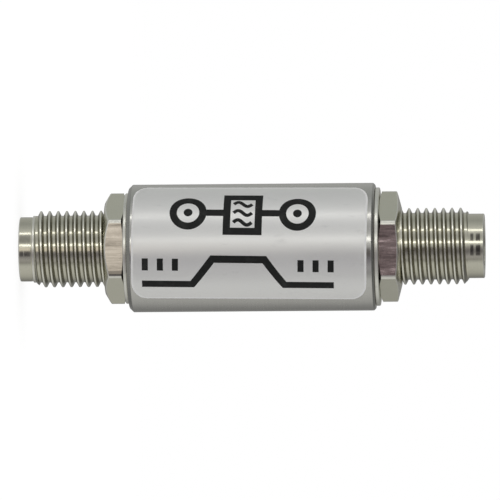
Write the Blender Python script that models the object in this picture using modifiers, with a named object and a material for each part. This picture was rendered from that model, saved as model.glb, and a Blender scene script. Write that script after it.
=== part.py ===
"""In-line coaxial band-pass filter.

A turned housing holds a small filter board. A threaded coaxial jack is pressed into each end.
The filter stands on its lower jack, with its axis along Z and its foil label towards -Y.
"""

import math

import bmesh
import bpy
from mathutils import Matrix

# How finely round pieces are divided, and the clearance between pieces that touch
FACETS = 48
JACK_FACETS = 36
CONTACT_FACETS = 24
FIT = 0.00002

# Jack, in metres, from the insulator outwards
INSULATOR_DIAMETER = 0.0041
MOUTH_STEP = 0.00025
MOUTH_DEPTH = 0.00195
MOUTH_CHAMFER = 0.0001
NOSE_WALL = 0.00035
NOSE_LENGTH = 0.0013
NOSE_EDGE = 0.00008
JACK_LENGTH = 0.00856
THREAD_STEP = 0.0001
THREAD_DEPTH = 0.0004
THREAD_PITCH = 0.0254 / 36
THREAD_CREST = THREAD_PITCH / 8
THREAD_FLANK = math.radians(30.0)
THREAD_RELIEF = 0.0002
HEX_ACROSS_FLATS = 0.0080
HEX_FACE_DIAMETER = 0.0076
HEX_CHAMFER = math.radians(30.0)
HEX_BACK_CHAMFER = 0.00012
LOWER_HEX_HEIGHT = 0.0015
UPPER_HEX_HEIGHT = 0.0019
SPIGOT_WALL = 0.00143
SPIGOT_REACH = 0.0030
SPIGOT_LEAD_IN = 0.0002
SLOT_DEPTH = 0.0016

# Housing, washers and label
SEAT_STEP = 0.0002
SEAT_CHAMFER = 0.0002
HOUSING_WALL = 0.00173
HOUSING_LENGTH = 0.0204
LOWER_CHAMFER = 0.0006
UPPER_CHAMFER = 0.00035
LOWER_WASHER_THICKNESS = 0.0003
LOWER_WASHER_RIM = 0.00103
UPPER_WASHER_THICKNESS = 0.00035
UPPER_WASHER_RIM = 0.00135
WASHER_EDGE = 0.00005
LABEL_THICKNESS = 0.0001
LABEL_LOWER_MARGIN = 0.0001
LABEL_UPPER_MARGIN = 0.0002
LABEL_CORNER = 0.00115
LABEL_LEFT = math.radians(69.0)
LABEL_RIGHT = math.radians(53.0)

# Centre contacts
CONTACT_DIAMETER = 0.00127
CONTACT_RECESS = 0.00005
CONTACT_BORE = 0.00094
CONTACT_BORE_DEPTH = 0.0026
CONTACT_COUNTERSINK = 0.0001
CONTACT_SLOT = 0.00014
CONTACT_SLOT_DEPTH = 0.0021
RING_STEP = 0.0002
RING_HEIGHT = 0.0006
RING_DEPTH = 0.0042
PIN_DIAMETER = 0.0006
PIN_ON_BOARD = 0.0014
PIN_IN_CONTACT = 0.0015
PIN_END_GAP = 0.0001

# Board and what it carries
BOARD_THICKNESS = 0.0008
BOARD_SIDE_GAP = 0.00004
BOARD_END_GAP = 0.0001
COPPER = 0.00005
TRACE_WIDTH = 0.0012
TRACE_GAP = 0.0005
TRACE_UNDER_PACKAGE = 0.0004
PACKAGE_SIDE = 0.0030
PACKAGE_HEIGHT = 0.0008
PACKAGE_CORNER = 0.00025
LID_INSET = 0.0002
LID_HEIGHT = 0.00015
CHIP_LENGTH = 0.0016
CHIP_WIDTH = 0.0008
CHIP_CAP = 0.0003
CHIP_CAP_PROUD = 0.00002
CHIP_FROM_PACKAGE = 0.0005
INDUCTOR_HEIGHT = 0.0008
CAPACITOR_HEIGHT = 0.0005
SOLDER_LENGTH = 0.0010
SOLDER_WALL = 0.0002
SOLDER_ROUND = 0.00036
GROUND_SOLDER = 0.0005

# Diameters that follow, each from what it fits round or in
MOUTH_DIAMETER = INSULATOR_DIAMETER + 2 * MOUTH_STEP
NOSE_DIAMETER = MOUTH_DIAMETER + 2 * NOSE_WALL
THREAD_ROOT_DIAMETER = NOSE_DIAMETER + 2 * THREAD_STEP
THREAD_DIAMETER = THREAD_ROOT_DIAMETER + 2 * THREAD_DEPTH
SPIGOT_DIAMETER = INSULATOR_DIAMETER + 2 * (FIT + SPIGOT_WALL)
SEAT_DIAMETER = SPIGOT_DIAMETER + 2 * FIT
HOUSING_BORE = SPIGOT_DIAMETER - 2 * SEAT_STEP
HOUSING_DIAMETER = SEAT_DIAMETER + 2 * HOUSING_WALL

# Levels along the axis, from the mating face of the lower jack
LOWER_JACK_LEVEL = JACK_LENGTH
HOUSING_LEVEL = LOWER_JACK_LEVEL + LOWER_WASHER_THICKNESS + 2 * FIT
HOUSING_TOP = HOUSING_LEVEL + HOUSING_LENGTH
UPPER_JACK_LEVEL = HOUSING_TOP + UPPER_WASHER_THICKNESS + 2 * FIT
BOARD_LEVEL = HOUSING_LEVEL + SPIGOT_REACH - SLOT_DEPTH + BOARD_END_GAP
BOARD_TOP = HOUSING_TOP - SPIGOT_REACH + SLOT_DEPTH - BOARD_END_GAP
BOARD_LENGTH = BOARD_TOP - BOARD_LEVEL
BOARD_MIDDLE = (BOARD_LEVEL + BOARD_TOP) / 2

# Depths through the board, along +Y from the axis. The pins lie on its copper face.
COPPER_FACE = PIN_DIAMETER / 2 + FIT
BOARD_FACE = COPPER_FACE + COPPER + FIT
BOARD_BACK = BOARD_FACE + BOARD_THICKNESS
COPPER_BACK = BOARD_BACK + FIT + COPPER
BORE_FLAT = HOUSING_BORE / 2 * math.cos(math.pi / FACETS)
BOARD_WIDTH = 2 * (math.sqrt(BORE_FLAT**2 - COPPER_BACK**2) - BOARD_SIDE_GAP)

CLOSE = 0.0000005


def clear_scene():
    for obj in list(bpy.data.objects):
        bpy.data.objects.remove(obj, do_unlink=True)


def new_collection(name):
    collection = bpy.data.collections.new(name)
    bpy.context.scene.collection.children.link(collection)
    return collection


def new_material(name, color, roughness, metallic=0.0):
    material = bpy.data.materials.new(name)
    material.use_nodes = True
    shader = material.node_tree.nodes["Principled BSDF"]
    shader.inputs["Base Color"].default_value = (*color, 1.0)
    shader.inputs["Roughness"].default_value = roughness
    shader.inputs["Metallic"].default_value = metallic
    return material


def add_object(name, mesh, material=None):
    """Adds a piece. Without a material it is a cutter or a blank."""
    obj = bpy.data.objects.new(name, mesh)
    if material:
        mesh.materials.append(material)
        PARTS.objects.link(obj)
    else:
        CUTTERS.objects.link(obj)
        obj.hide_render = True
        obj.display_type = "WIRE"
    return obj


def mesh_from(shape, name):
    mesh = bpy.data.meshes.new(name)
    bmesh.ops.recalc_face_normals(shape, faces=shape.faces)
    shape.to_mesh(mesh)
    shape.free()
    return mesh


def turned(name, outline, material=None, facets=FACETS):
    """Turns an outline of (radius, level) points that runs down its outer side.

    An outline with both ends on the axis makes a solid, and any other is closed into a ring.
    """
    points = [(radius, 0.0, level) for radius, level in outline]
    edges = [(number, number + 1) for number in range(len(points) - 1)]
    if outline[0][0] > 0.0:
        edges.append((len(points) - 1, 0))
    mesh = bpy.data.meshes.new(name)
    mesh.from_pydata(points, edges, [])
    obj = add_object(name, mesh, material)
    turn = obj.modifiers.new("turn", "SCREW")
    turn.steps = facets
    turn.render_steps = facets
    turn.use_merge_vertices = True
    turn.merge_threshold = CLOSE
    return obj


def cylinder(name, diameter, top, bottom, material=None, facets=FACETS):
    radius = diameter / 2
    outline = [(0.0, top), (radius, top), (radius, bottom), (0.0, bottom)]
    return turned(name, outline, material, facets)


def box(name, size, centre, material=None, corner=0.0):
    """A box about its own middle. Its edges along Y can be rounded."""
    shape = bmesh.new()
    bmesh.ops.create_cube(shape, size=1.0)
    bmesh.ops.scale(shape, vec=size, verts=shape.verts)
    if corner:
        edges = [edge for edge in shape.edges if abs(edge.verts[0].co.y - edge.verts[1].co.y) > CLOSE]
        round_edges(shape, edges, corner, 3)
    obj = add_object(name, mesh_from(shape, name), material)
    obj.location = centre
    return obj


def round_edges(shape, edges, width, segments):
    bmesh.ops.bevel(
        shape,
        geom=edges,
        offset=width,
        segments=segments,
        profile=0.5,
        affect="EDGES",
        material=-1,
    )


def combine(obj, tool, operation):
    step = obj.modifiers.new(tool.name, "BOOLEAN")
    step.operation = operation
    step.object = tool
    step.solver = "EXACT"


def evaluated_mesh(obj):
    graph = bpy.context.evaluated_depsgraph_get()
    return bpy.data.meshes.new_from_object(obj.evaluated_get(graph))


def shade_round_pieces():
    """Applies the modifiers of each piece, then smooths its round faces and keeps its edges sharp."""
    meshes = {obj: evaluated_mesh(obj) for obj in PARTS.objects if obj.type == "MESH"}
    for obj, mesh in meshes.items():
        obj.modifiers.clear()
        obj.data = mesh
        mesh.shade_smooth()
        mesh.set_sharp_from_angle(angle=math.radians(25.0))


def hang_on(parent, *pieces):
    for piece in pieces:
        piece.parent = parent


def make_housing(material):
    """A tube with a press seat for a spigot at each end and chamfered ends."""
    outer = HOUSING_DIAMETER / 2
    bore = HOUSING_BORE / 2
    seat = SEAT_DIAMETER / 2
    seat_depth = SPIGOT_REACH + FIT
    top = HOUSING_LENGTH
    outline = [
        (seat + SEAT_CHAMFER, top),
        (outer - UPPER_CHAMFER, top),
        (outer, top - UPPER_CHAMFER),
        (outer, LOWER_CHAMFER),
        (outer - LOWER_CHAMFER, 0.0),
        (seat + SEAT_CHAMFER, 0.0),
        (seat, SEAT_CHAMFER),
        (seat, seat_depth),
        (bore, seat_depth),
        (bore, top - seat_depth),
        (seat, top - seat_depth),
        (seat, top - SEAT_CHAMFER),
    ]
    housing = turned("housing", outline, material)
    housing.location = (0.0, 0.0, HOUSING_LEVEL)


def rounded_rectangle(shape, left, right, bottom, top, radius):
    """A flat face with four rounded corners, in the XZ plane."""
    steps = 6
    corners = [
        (right - radius, top - radius),
        (left + radius, top - radius),
        (left + radius, bottom + radius),
        (right - radius, bottom + radius),
    ]
    verts = []
    for quarter, (across, level) in enumerate(corners):
        for step in range(steps + 1):
            angle = (quarter + step / steps) * math.pi / 2
            point = (across + radius * math.cos(angle), 0.0, level + radius * math.sin(angle))
            verts.append(shape.verts.new(point))
    shape.faces.new(verts)


def make_label(material):
    """A foil rectangle with rounded corners, cut flat and then wrapped on the front of the housing."""
    radius = HOUSING_DIAMETER / 2 + FIT
    bottom = HOUSING_LEVEL + LOWER_CHAMFER + LABEL_LOWER_MARGIN
    top = HOUSING_TOP - UPPER_CHAMFER - LABEL_UPPER_MARGIN
    left = -LABEL_LEFT * radius
    right = LABEL_RIGHT * radius
    shape = bmesh.new()
    rounded_rectangle(shape, left, right, bottom, top, LABEL_CORNER)
    for number in range(-FACETS // 2, FACETS // 2):
        across = number * 2 * math.pi / FACETS * radius
        if left < across < right:
            everything = shape.verts[:] + shape.edges[:] + shape.faces[:]
            bmesh.ops.bisect_plane(
                shape, geom=everything, dist=CLOSE, plane_co=(across, 0, 0), plane_no=(1, 0, 0)
            )
    for vert in shape.verts:
        angle = vert.co.x / radius
        vert.co.x = radius * math.sin(angle)
        vert.co.y = -radius * math.cos(angle)
    mesh = bpy.data.meshes.new("label")
    shape.to_mesh(mesh)
    shape.free()
    label = add_object("label", mesh, material)
    wall = label.modifiers.new("foil", "SOLIDIFY")
    wall.thickness = LABEL_THICKNESS
    wall.offset = 1.0


def make_washer(name, rim, thickness, level, material):
    hole = SPIGOT_DIAMETER / 2 + FIT
    outer = hole + rim
    outline = [
        (hole, thickness),
        (outer - WASHER_EDGE, thickness),
        (outer, thickness - WASHER_EDGE),
        (outer, WASHER_EDGE),
        (outer - WASHER_EDGE, 0.0),
        (hole, 0.0),
    ]
    washer = turned(name, outline, material)
    washer.location = (0.0, 0.0, level)


def hexagon(name, height, parent):
    """A hexagon with its corners turned down at both ends."""
    across_corners = HEX_ACROSS_FLATS / math.cos(math.radians(30.0))
    shape = bmesh.new()
    bmesh.ops.create_cone(
        shape,
        cap_ends=True,
        segments=6,
        radius1=across_corners / 2,
        radius2=across_corners / 2,
        depth=height,
    )
    prism = add_object(name, mesh_from(shape, name))
    prism.location = (0.0, 0.0, height / 2)
    prism.rotation_euler = (0.0, 0.0, math.radians(30.0))
    outside = across_corners / 2 + FIT
    face = HEX_FACE_DIAMETER / 2
    back_face = across_corners / 2 - HEX_BACK_CHAMFER / math.tan(HEX_CHAMFER)
    spare = FIT / math.tan(HEX_CHAMFER)
    outline = [
        (0.0, height + FIT),
        (face - spare, height + FIT),
        (outside, height - (outside - face) * math.tan(HEX_CHAMFER)),
        (outside, (outside - back_face) * math.tan(HEX_CHAMFER)),
        (back_face - spare, -FIT),
        (0.0, -FIT),
    ]
    limit = turned(name + "_limit", outline)
    combine(prism, limit, "INTERSECT")
    hang_on(parent, prism, limit)
    return prism


def thread(name, bottom, top, parent):
    """One tooth wound into a right-hand helix, then cut to length and tapered at its start."""
    crest = THREAD_DIAMETER / 2
    buried = THREAD_ROOT_DIAMETER / 2 - THREAD_CREST
    half_crest = THREAD_CREST / 2
    half_base = half_crest + (crest - buried) * math.tan(THREAD_FLANK)
    start = bottom - THREAD_PITCH
    tooth_outline = [
        (buried, start + half_base),
        (crest, start + half_crest),
        (crest, start - half_crest),
        (buried, start - half_base),
    ]
    tooth = turned(name + "_tooth", tooth_outline, facets=JACK_FACETS)
    tooth.modifiers["turn"].screw_offset = THREAD_PITCH
    tooth.modifiers["turn"].iterations = math.ceil((top - bottom) / THREAD_PITCH) + 2
    shape = bmesh.new()
    shape.from_mesh(evaluated_mesh(tooth))
    bpy.data.objects.remove(tooth)
    bmesh.ops.remove_doubles(shape, verts=shape.verts, dist=CLOSE)
    bmesh.ops.holes_fill(shape, edges=[edge for edge in shape.edges if edge.is_boundary], sides=0)
    half_facet = Matrix.Rotation(math.pi / JACK_FACETS, 3, "Z")
    bmesh.ops.rotate(shape, verts=shape.verts, cent=(0.0, 0.0, 0.0), matrix=half_facet)
    coil = add_object(name, mesh_from(shape, name))
    start_of_thread = top - 2 * THREAD_STEP
    limit_outline = [
        (0.0, start_of_thread),
        (buried, start_of_thread),
        (crest + FIT, start_of_thread - (crest + FIT - buried)),
        (crest + FIT, bottom),
        (0.0, bottom),
    ]
    limit = turned(name + "_limit", limit_outline, facets=JACK_FACETS)
    combine(coil, limit, "INTERSECT")
    hang_on(parent, coil, limit)
    return coil


def make_shell(name, hex_height, spigot_end, parent, material):
    """The outer conductor: nose, thread, hexagon and spigot, bored through and slotted for the board."""
    nose = NOSE_DIAMETER / 2
    root = THREAD_ROOT_DIAMETER / 2
    spigot = SPIGOT_DIAMETER / 2
    thread_top = JACK_LENGTH - NOSE_LENGTH
    outline = [
        (0.0, JACK_LENGTH),
        (nose - NOSE_EDGE, JACK_LENGTH),
        (nose, JACK_LENGTH - NOSE_EDGE),
        (nose, thread_top),
        (root, thread_top - (root - nose)),
        (root, hex_height / 2),
        (spigot, hex_height / 2),
        (spigot, spigot_end + SPIGOT_LEAD_IN),
        (spigot - SPIGOT_LEAD_IN, spigot_end),
        (0.0, spigot_end),
    ]
    shell = turned(name, outline, material, JACK_FACETS)
    combine(shell, hexagon(name + "_hexagon", hex_height, parent), "UNION")
    mouth = MOUTH_DIAMETER / 2
    bore = INSULATOR_DIAMETER / 2 + FIT
    above = JACK_LENGTH + MOUTH_CHAMFER
    hole_outline = [
        (0.0, above),
        (mouth + 2 * MOUTH_CHAMFER, above),
        (mouth, JACK_LENGTH - MOUTH_CHAMFER),
        (mouth, JACK_LENGTH - MOUTH_DEPTH),
        (bore, JACK_LENGTH - MOUTH_DEPTH),
        (bore, spigot_end - SLOT_DEPTH),
        (0.0, spigot_end - SLOT_DEPTH),
    ]
    hole = turned(name + "_hole", hole_outline, facets=JACK_FACETS)
    combine(shell, hole, "DIFFERENCE")
    slot_size = (3 * SPIGOT_DIAMETER, COPPER_BACK - COPPER_FACE + 2 * FIT, 2 * SLOT_DEPTH)
    slot = box(name + "_slot", slot_size, (0.0, (COPPER_BACK + COPPER_FACE) / 2, spigot_end))
    combine(shell, slot, "DIFFERENCE")
    combine(shell, thread(name + "_thread", hex_height + THREAD_RELIEF, thread_top, parent), "UNION")
    hang_on(parent, shell, hole, slot)


def contact_outline(front, rear, tail_end, grow=0.0):
    """The outside of a centre contact. Grown by a clearance, it is the hole in the insulator."""
    socket = CONTACT_DIAMETER / 2 + grow
    ring = socket + RING_STEP
    ring_top = front - RING_DEPTH
    ring_bottom = ring_top - RING_HEIGHT
    outline = [
        (0.0, front),
        (socket, front),
        (socket, ring_top + grow),
        (ring, ring_top + grow),
        (ring, ring_bottom - grow),
        (socket, ring_bottom - grow),
        (socket, rear),
    ]
    if tail_end < rear:
        tail = PIN_DIAMETER / 2 + grow
        outline += [(tail, rear), (tail, tail_end)]
    return outline + [(0.0, outline[-1][1])]


def make_contact(name, front, rear, tail_end, parent, material):
    """A spring socket with four fingers. It ends in a tail, or in a second socket if it has none."""
    contact = turned(name, contact_outline(front, rear, tail_end), material, CONTACT_FACETS)
    bore = CONTACT_BORE / 2
    hole_outline = [
        (0.0, front + CONTACT_COUNTERSINK),
        (bore + 2 * CONTACT_COUNTERSINK, front + CONTACT_COUNTERSINK),
        (bore, front - CONTACT_COUNTERSINK),
        (bore, front - CONTACT_BORE_DEPTH),
        (0.0, front - CONTACT_BORE_DEPTH - bore / 2),
    ]
    tools = [turned(name + "_hole", hole_outline, facets=CONTACT_FACETS)]
    long_side = 2 * CONTACT_DIAMETER
    for way, (width, depth) in enumerate([(long_side, CONTACT_SLOT), (CONTACT_SLOT, long_side)]):
        size = (width, depth, 2 * CONTACT_SLOT_DEPTH)
        tools.append(box(f"{name}_saw_{way}", size, (0.0, 0.0, front)))
    if tail_end == rear:
        pin_hole = PIN_DIAMETER + 2 * FIT
        top = rear + PIN_IN_CONTACT
        bottom = rear - PIN_IN_CONTACT
        tools.append(cylinder(name + "_pin_hole", pin_hole, top, bottom, facets=CONTACT_FACETS))
    for tool in tools:
        combine(contact, tool, "DIFFERENCE")
    hang_on(parent, contact, *tools)


def make_insulator(name, contact_front, rear, parent, material):
    front = contact_front + CONTACT_RECESS
    insulator = cylinder(name, INSULATOR_DIAMETER, front, rear, material, JACK_FACETS)
    below = rear - RING_HEIGHT
    above = front + CONTACT_RECESS
    outline = contact_outline(contact_front, below, below, FIT)
    outline[:2] = [(0.0, above), (outline[1][0], above)]
    hole = turned(name + "_hole", outline, facets=CONTACT_FACETS)
    combine(insulator, hole, "DIFFERENCE")
    hang_on(parent, insulator, hole)


def make_jack(side, level, turn, hex_height, washer_thickness, has_tail, materials):
    """A jack in its own frame: the back of its hexagon at level 0 and its mating end up."""
    parent = bpy.data.objects.new(f"{side}_jack", None)
    PARTS.objects.link(parent)
    parent.empty_display_size = HOUSING_DIAMETER / 2
    parent.location = (0.0, 0.0, level)
    parent.rotation_euler = (0.0, turn, 0.0)
    spigot_end = -washer_thickness - 2 * FIT - SPIGOT_REACH
    insulator_rear = spigot_end + SLOT_DEPTH
    front = JACK_LENGTH - MOUTH_DEPTH - CONTACT_RECESS
    rear = insulator_rear + CONTACT_RECESS
    tail_end = insulator_rear - BOARD_END_GAP - PIN_ON_BOARD if has_tail else rear
    make_shell(f"{side}_jack_shell", hex_height, spigot_end, parent, materials["nickel"])
    make_insulator(f"{side}_insulator", front, insulator_rear, parent, materials["fluoropolymer"])
    make_contact(f"{side}_contact", front, rear, tail_end, parent, materials["gold"])


def make_board_pin(material):
    """A straight pin on the board that plugs into the back of the upper contact."""
    radius = PIN_DIAMETER / 2
    insulator_rear = BOARD_TOP + BOARD_END_GAP
    top = insulator_rear + CONTACT_RECESS + PIN_IN_CONTACT - PIN_END_GAP
    bottom = BOARD_TOP - PIN_ON_BOARD
    edge = radius / 4
    outline = [
        (0.0, top),
        (radius - edge, top),
        (radius, top - edge),
        (radius, bottom),
        (0.0, bottom),
    ]
    turned("board_pin", outline, material, CONTACT_FACETS)


def make_board(materials):
    board_y = (BOARD_FACE + BOARD_BACK) / 2
    board_size = (BOARD_WIDTH, BOARD_THICKNESS, BOARD_LENGTH)
    box("circuit_board", board_size, (0.0, board_y, BOARD_MIDDLE), materials["laminate"])
    plane_size = (BOARD_WIDTH, COPPER, BOARD_LENGTH)
    box("ground_plane", plane_size, (0.0, COPPER_BACK - COPPER / 2, BOARD_MIDDLE), materials["copper"])
    face_y = COPPER_FACE + COPPER / 2
    inner = TRACE_WIDTH / 2 + TRACE_GAP
    strip = BOARD_WIDTH / 2 - inner
    for side, sign in (("left", -1), ("right", 1)):
        centre = (sign * (inner + strip / 2), face_y, BOARD_MIDDLE)
        box(f"{side}_ground_strip", (strip, COPPER, BOARD_LENGTH), centre, materials["copper"])
    trace = BOARD_LENGTH / 2 - PACKAGE_SIDE / 2 + TRACE_UNDER_PACKAGE
    for side, sign in (("lower", -1), ("upper", 1)):
        centre = (0.0, face_y, BOARD_MIDDLE + sign * (BOARD_LENGTH - trace) / 2)
        box(f"{side}_trace", (TRACE_WIDTH, COPPER, trace), centre, materials["copper"])


def make_package(materials):
    """The filter chip: a ceramic tray with a metal lid, soldered to the middle of the board."""
    tray_face = COPPER_FACE - FIT
    tray_size = (PACKAGE_SIDE, PACKAGE_HEIGHT, PACKAGE_SIDE)
    tray_centre = (0.0, tray_face - PACKAGE_HEIGHT / 2, BOARD_MIDDLE)
    box("saw_package", tray_size, tray_centre, materials["ceramic"], PACKAGE_CORNER)
    lid_side = PACKAGE_SIDE - 2 * LID_INSET
    lid_centre = (0.0, tray_face - PACKAGE_HEIGHT - FIT - LID_HEIGHT / 2, BOARD_MIDDLE)
    box("saw_lid", (lid_side, LID_HEIGHT, lid_side), lid_centre, materials["lid"], PACKAGE_CORNER)


def make_chip(name, height, x, z, material):
    """A chip part with its two end caps, from the trace to a ground strip."""
    middle_y = COPPER_FACE - FIT - height / 2
    proud = 2 * CHIP_CAP_PROUD
    body_size = (CHIP_LENGTH - 2 * CHIP_CAP, height - proud, CHIP_WIDTH - proud)
    body = box(name, body_size, (x, middle_y, z), material)
    cap = CHIP_CAP + CHIP_CAP_PROUD
    for end in (-1, 1):
        centre = (x + end * (CHIP_LENGTH - cap) / 2, middle_y, z)
        combine(body, box(f"{name}_cap_{end}", (cap, height, CHIP_WIDTH), centre), "UNION")


def make_chips(materials):
    across = (TRACE_WIDTH + TRACE_GAP) / 2
    along = PACKAGE_SIDE / 2 + CHIP_FROM_PACKAGE + CHIP_WIDTH / 2
    for side, sign in (("lower", -1), ("upper", 1)):
        level = BOARD_MIDDLE + sign * along
        make_chip(f"{side}_inductor", INDUCTOR_HEIGHT, across, level, materials["ferrite"])
        make_chip(f"{side}_capacitor", CAPACITOR_HEIGHT, -across, level, materials["dielectric"])


def make_pin_solder(side, pin_end, towards_jack, material):
    """A rounded bead over the end of a pin that lies on its trace."""
    height = PIN_DIAMETER + SOLDER_WALL
    width = PIN_DIAMETER + 2 * SOLDER_WALL
    shape = bmesh.new()
    bmesh.ops.create_cube(shape, size=1.0)
    bmesh.ops.scale(shape, vec=(width, height, SOLDER_LENGTH), verts=shape.verts)
    crown = [edge for edge in shape.edges if all(vert.co.y < 0.0 for vert in edge.verts)]
    round_edges(shape, crown, SOLDER_ROUND, 4)
    bead = add_object(f"{side}_solder", mesh_from(shape, f"{side}_solder"), material)
    level = pin_end + towards_jack * (SOLDER_LENGTH / 2 - SOLDER_WALL)
    bead.location = (0.0, COPPER_FACE - FIT - height / 2, level)
    far_end = pin_end + towards_jack * SOLDER_LENGTH
    near_end = pin_end - towards_jack * FIT
    top = max(far_end, near_end)
    bottom = min(far_end, near_end)
    hole = cylinder(
        f"{side}_solder_hole", PIN_DIAMETER + 2 * FIT, top, bottom, facets=CONTACT_FACETS
    )
    combine(bead, hole, "DIFFERENCE")


def make_ground_solder(side, sign, material):
    """A fillet in the corner between a ground strip and the end of the lower spigot."""
    inner = sign * (INSULATOR_DIAMETER / 2 + 5 * FIT)
    outer = sign * (BOARD_WIDTH / 2 - 5 * FIT)
    face = COPPER_FACE - FIT
    level = HOUSING_LEVEL + SPIGOT_REACH + FIT
    shape = bmesh.new()
    corners = [
        (inner, face, level),
        (inner, face - GROUND_SOLDER, level),
        (inner, face, level + GROUND_SOLDER),
    ]
    triangle = shape.faces.new([shape.verts.new(corner) for corner in corners])
    made = bmesh.ops.extrude_face_region(shape, geom=[triangle])
    moved = [item for item in made["geom"] if isinstance(item, bmesh.types.BMVert)]
    bmesh.ops.translate(shape, vec=(outer - inner, 0.0, 0.0), verts=moved)
    name = f"{side}_ground_solder"
    add_object(name, mesh_from(shape, name), material)


def make_materials():
    return {
        "nickel": new_material("nickel", (0.56, 0.56, 0.50), 0.28, 1.0),
        "foil": new_material("foil", (0.72, 0.73, 0.72), 0.42, 1.0),
        "fluoropolymer": new_material("fluoropolymer", (0.85, 0.85, 0.82), 0.5),
        "gold": new_material("gold", (0.83, 0.62, 0.24), 0.25, 1.0),
        "laminate": new_material("laminate", (0.05, 0.22, 0.10), 0.45),
        "copper": new_material("copper", (0.78, 0.60, 0.30), 0.35, 1.0),
        "ceramic": new_material("ceramic", (0.75, 0.73, 0.68), 0.55),
        "lid": new_material("lid", (0.66, 0.60, 0.42), 0.3, 1.0),
        "ferrite": new_material("ferrite", (0.12, 0.12, 0.13), 0.6),
        "dielectric": new_material("dielectric", (0.55, 0.42, 0.28), 0.5),
        "solder": new_material("solder", (0.62, 0.62, 0.62), 0.35, 1.0),
    }


def build():
    materials = make_materials()
    nickel = materials["nickel"]
    make_housing(nickel)
    make_label(materials["foil"])
    lower_level = LOWER_JACK_LEVEL + FIT
    upper_level = HOUSING_TOP + FIT
    make_washer("lower_washer", LOWER_WASHER_RIM, LOWER_WASHER_THICKNESS, lower_level, nickel)
    make_washer("upper_washer", UPPER_WASHER_RIM, UPPER_WASHER_THICKNESS, upper_level, nickel)
    lower = (LOWER_JACK_LEVEL, math.pi, LOWER_HEX_HEIGHT, LOWER_WASHER_THICKNESS, True)
    upper = (UPPER_JACK_LEVEL, 0.0, UPPER_HEX_HEIGHT, UPPER_WASHER_THICKNESS, False)
    make_jack("lower", *lower, materials)
    make_jack("upper", *upper, materials)
    make_board(materials)
    make_board_pin(materials["gold"])
    make_package(materials)
    make_chips(materials)
    make_pin_solder("lower", BOARD_LEVEL + PIN_ON_BOARD, -1, materials["solder"])
    make_pin_solder("upper", BOARD_TOP - PIN_ON_BOARD, 1, materials["solder"])
    make_ground_solder("left", -1, materials["solder"])
    make_ground_solder("right", 1, materials["solder"])
    shade_round_pieces()


clear_scene()
PARTS = new_collection("coaxial_filter")
CUTTERS = new_collection("cutters")
build()
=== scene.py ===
"""Looks of the in-line coaxial filter: its turned, milled and printed pieces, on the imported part."""

import math

import bmesh
import bpy
from mathutils import Matrix, Vector


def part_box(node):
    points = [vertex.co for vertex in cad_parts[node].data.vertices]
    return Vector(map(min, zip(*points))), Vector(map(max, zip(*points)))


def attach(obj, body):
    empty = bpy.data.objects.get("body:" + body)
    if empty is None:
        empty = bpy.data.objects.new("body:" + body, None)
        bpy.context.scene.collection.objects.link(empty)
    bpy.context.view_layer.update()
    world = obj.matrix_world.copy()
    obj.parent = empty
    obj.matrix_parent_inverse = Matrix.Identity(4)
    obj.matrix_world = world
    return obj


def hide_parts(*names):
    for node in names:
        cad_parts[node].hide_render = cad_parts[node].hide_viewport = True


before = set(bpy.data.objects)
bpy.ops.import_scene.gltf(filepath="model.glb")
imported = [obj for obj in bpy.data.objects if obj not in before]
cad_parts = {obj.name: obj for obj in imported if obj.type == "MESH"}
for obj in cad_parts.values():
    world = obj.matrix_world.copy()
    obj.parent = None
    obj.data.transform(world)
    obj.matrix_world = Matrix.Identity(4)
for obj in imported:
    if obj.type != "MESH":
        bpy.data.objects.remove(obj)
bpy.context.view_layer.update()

# Every length here is in metres. Those without a note repeat the part's own value.
MM = 0.001
FIT = 0.02 * MM

INSULATOR_RADIUS = 2.05 * MM
MOUTH_RADIUS = 2.30 * MM
MOUTH_DEPTH = 1.95 * MM
NOSE_RADIUS = 2.65 * MM
NOSE_LENGTH = 1.30 * MM
NOSE_EDGE = 0.08 * MM
JACK_LENGTH = 8.56 * MM
CREST_RADIUS = 3.15 * MM
ROOT_RADIUS = 2.75 * MM
PITCH = 25.4 * MM / 36
ACROSS_FLATS = 8.00 * MM
SPIGOT_RADIUS = 3.50 * MM
SPIGOT_REACH = 3.00 * MM
# Here the hexagon and the thread are sleeves on the shell's core, and reach a hair below its surface.
CORE_RADIUS = 2.62 * MM
SLEEVE_BORE_RADIUS = 2.60 * MM
CORE_SHOULDER = 0.30 * MM
# A small rim that the photograph shows at the lower nose's root.
RIM_RADIUS = 2.75 * MM
# The plate rounds the 60 degree thread: crest and root come out wider, and the flanks steeper.
CREST_FLAT = 0.120 * MM
CREST_ROUND = 0.02 * MM
FLANK = math.radians(26.0)
# A shallow cone behind the hexagon's corners, its inner radius and its least height.
HEX_BACK_RADIUS = 4.08 * MM
HEX_BACK_EDGE = 0.02 * MM
# In the photograph the lower hexagon's back, its washer and the body's end lie this much higher.
LOWER_HEEL = 0.12 * MM

BODY_RADIUS = 5.25 * MM
BODY_LOW = 8.90 * MM + LOWER_HEEL
BODY_HIGH = 29.30 * MM
# The body's chamfers are as the photograph shows them.
BODY_LOW_CHAMFER = 0.32 * MM
BODY_HIGH_CHAMFER = 0.17 * MM
SEAT_RADIUS = 3.52 * MM
BORE_RADIUS = 3.30 * MM

# The label's reach and corners follow the photograph, and its corners are longer round the body.
LABEL_LOW = 9.48 * MM
LABEL_HIGH = 28.75 * MM
LABEL_UP = math.radians(67.0)
LABEL_DOWN = math.radians(51.5)
LABEL_THICKNESS = 0.10 * MM
LABEL_CORNER = 1.25 * MM
LABEL_CORNER_STRETCH = 1.45
LABEL_RIM = 0.16 * MM
LABEL_STRIP = 0.22 * MM
# It is stuck on a little askew, its upper end turned down in the photograph.
LABEL_SKEW = math.radians(-1.1)

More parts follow.
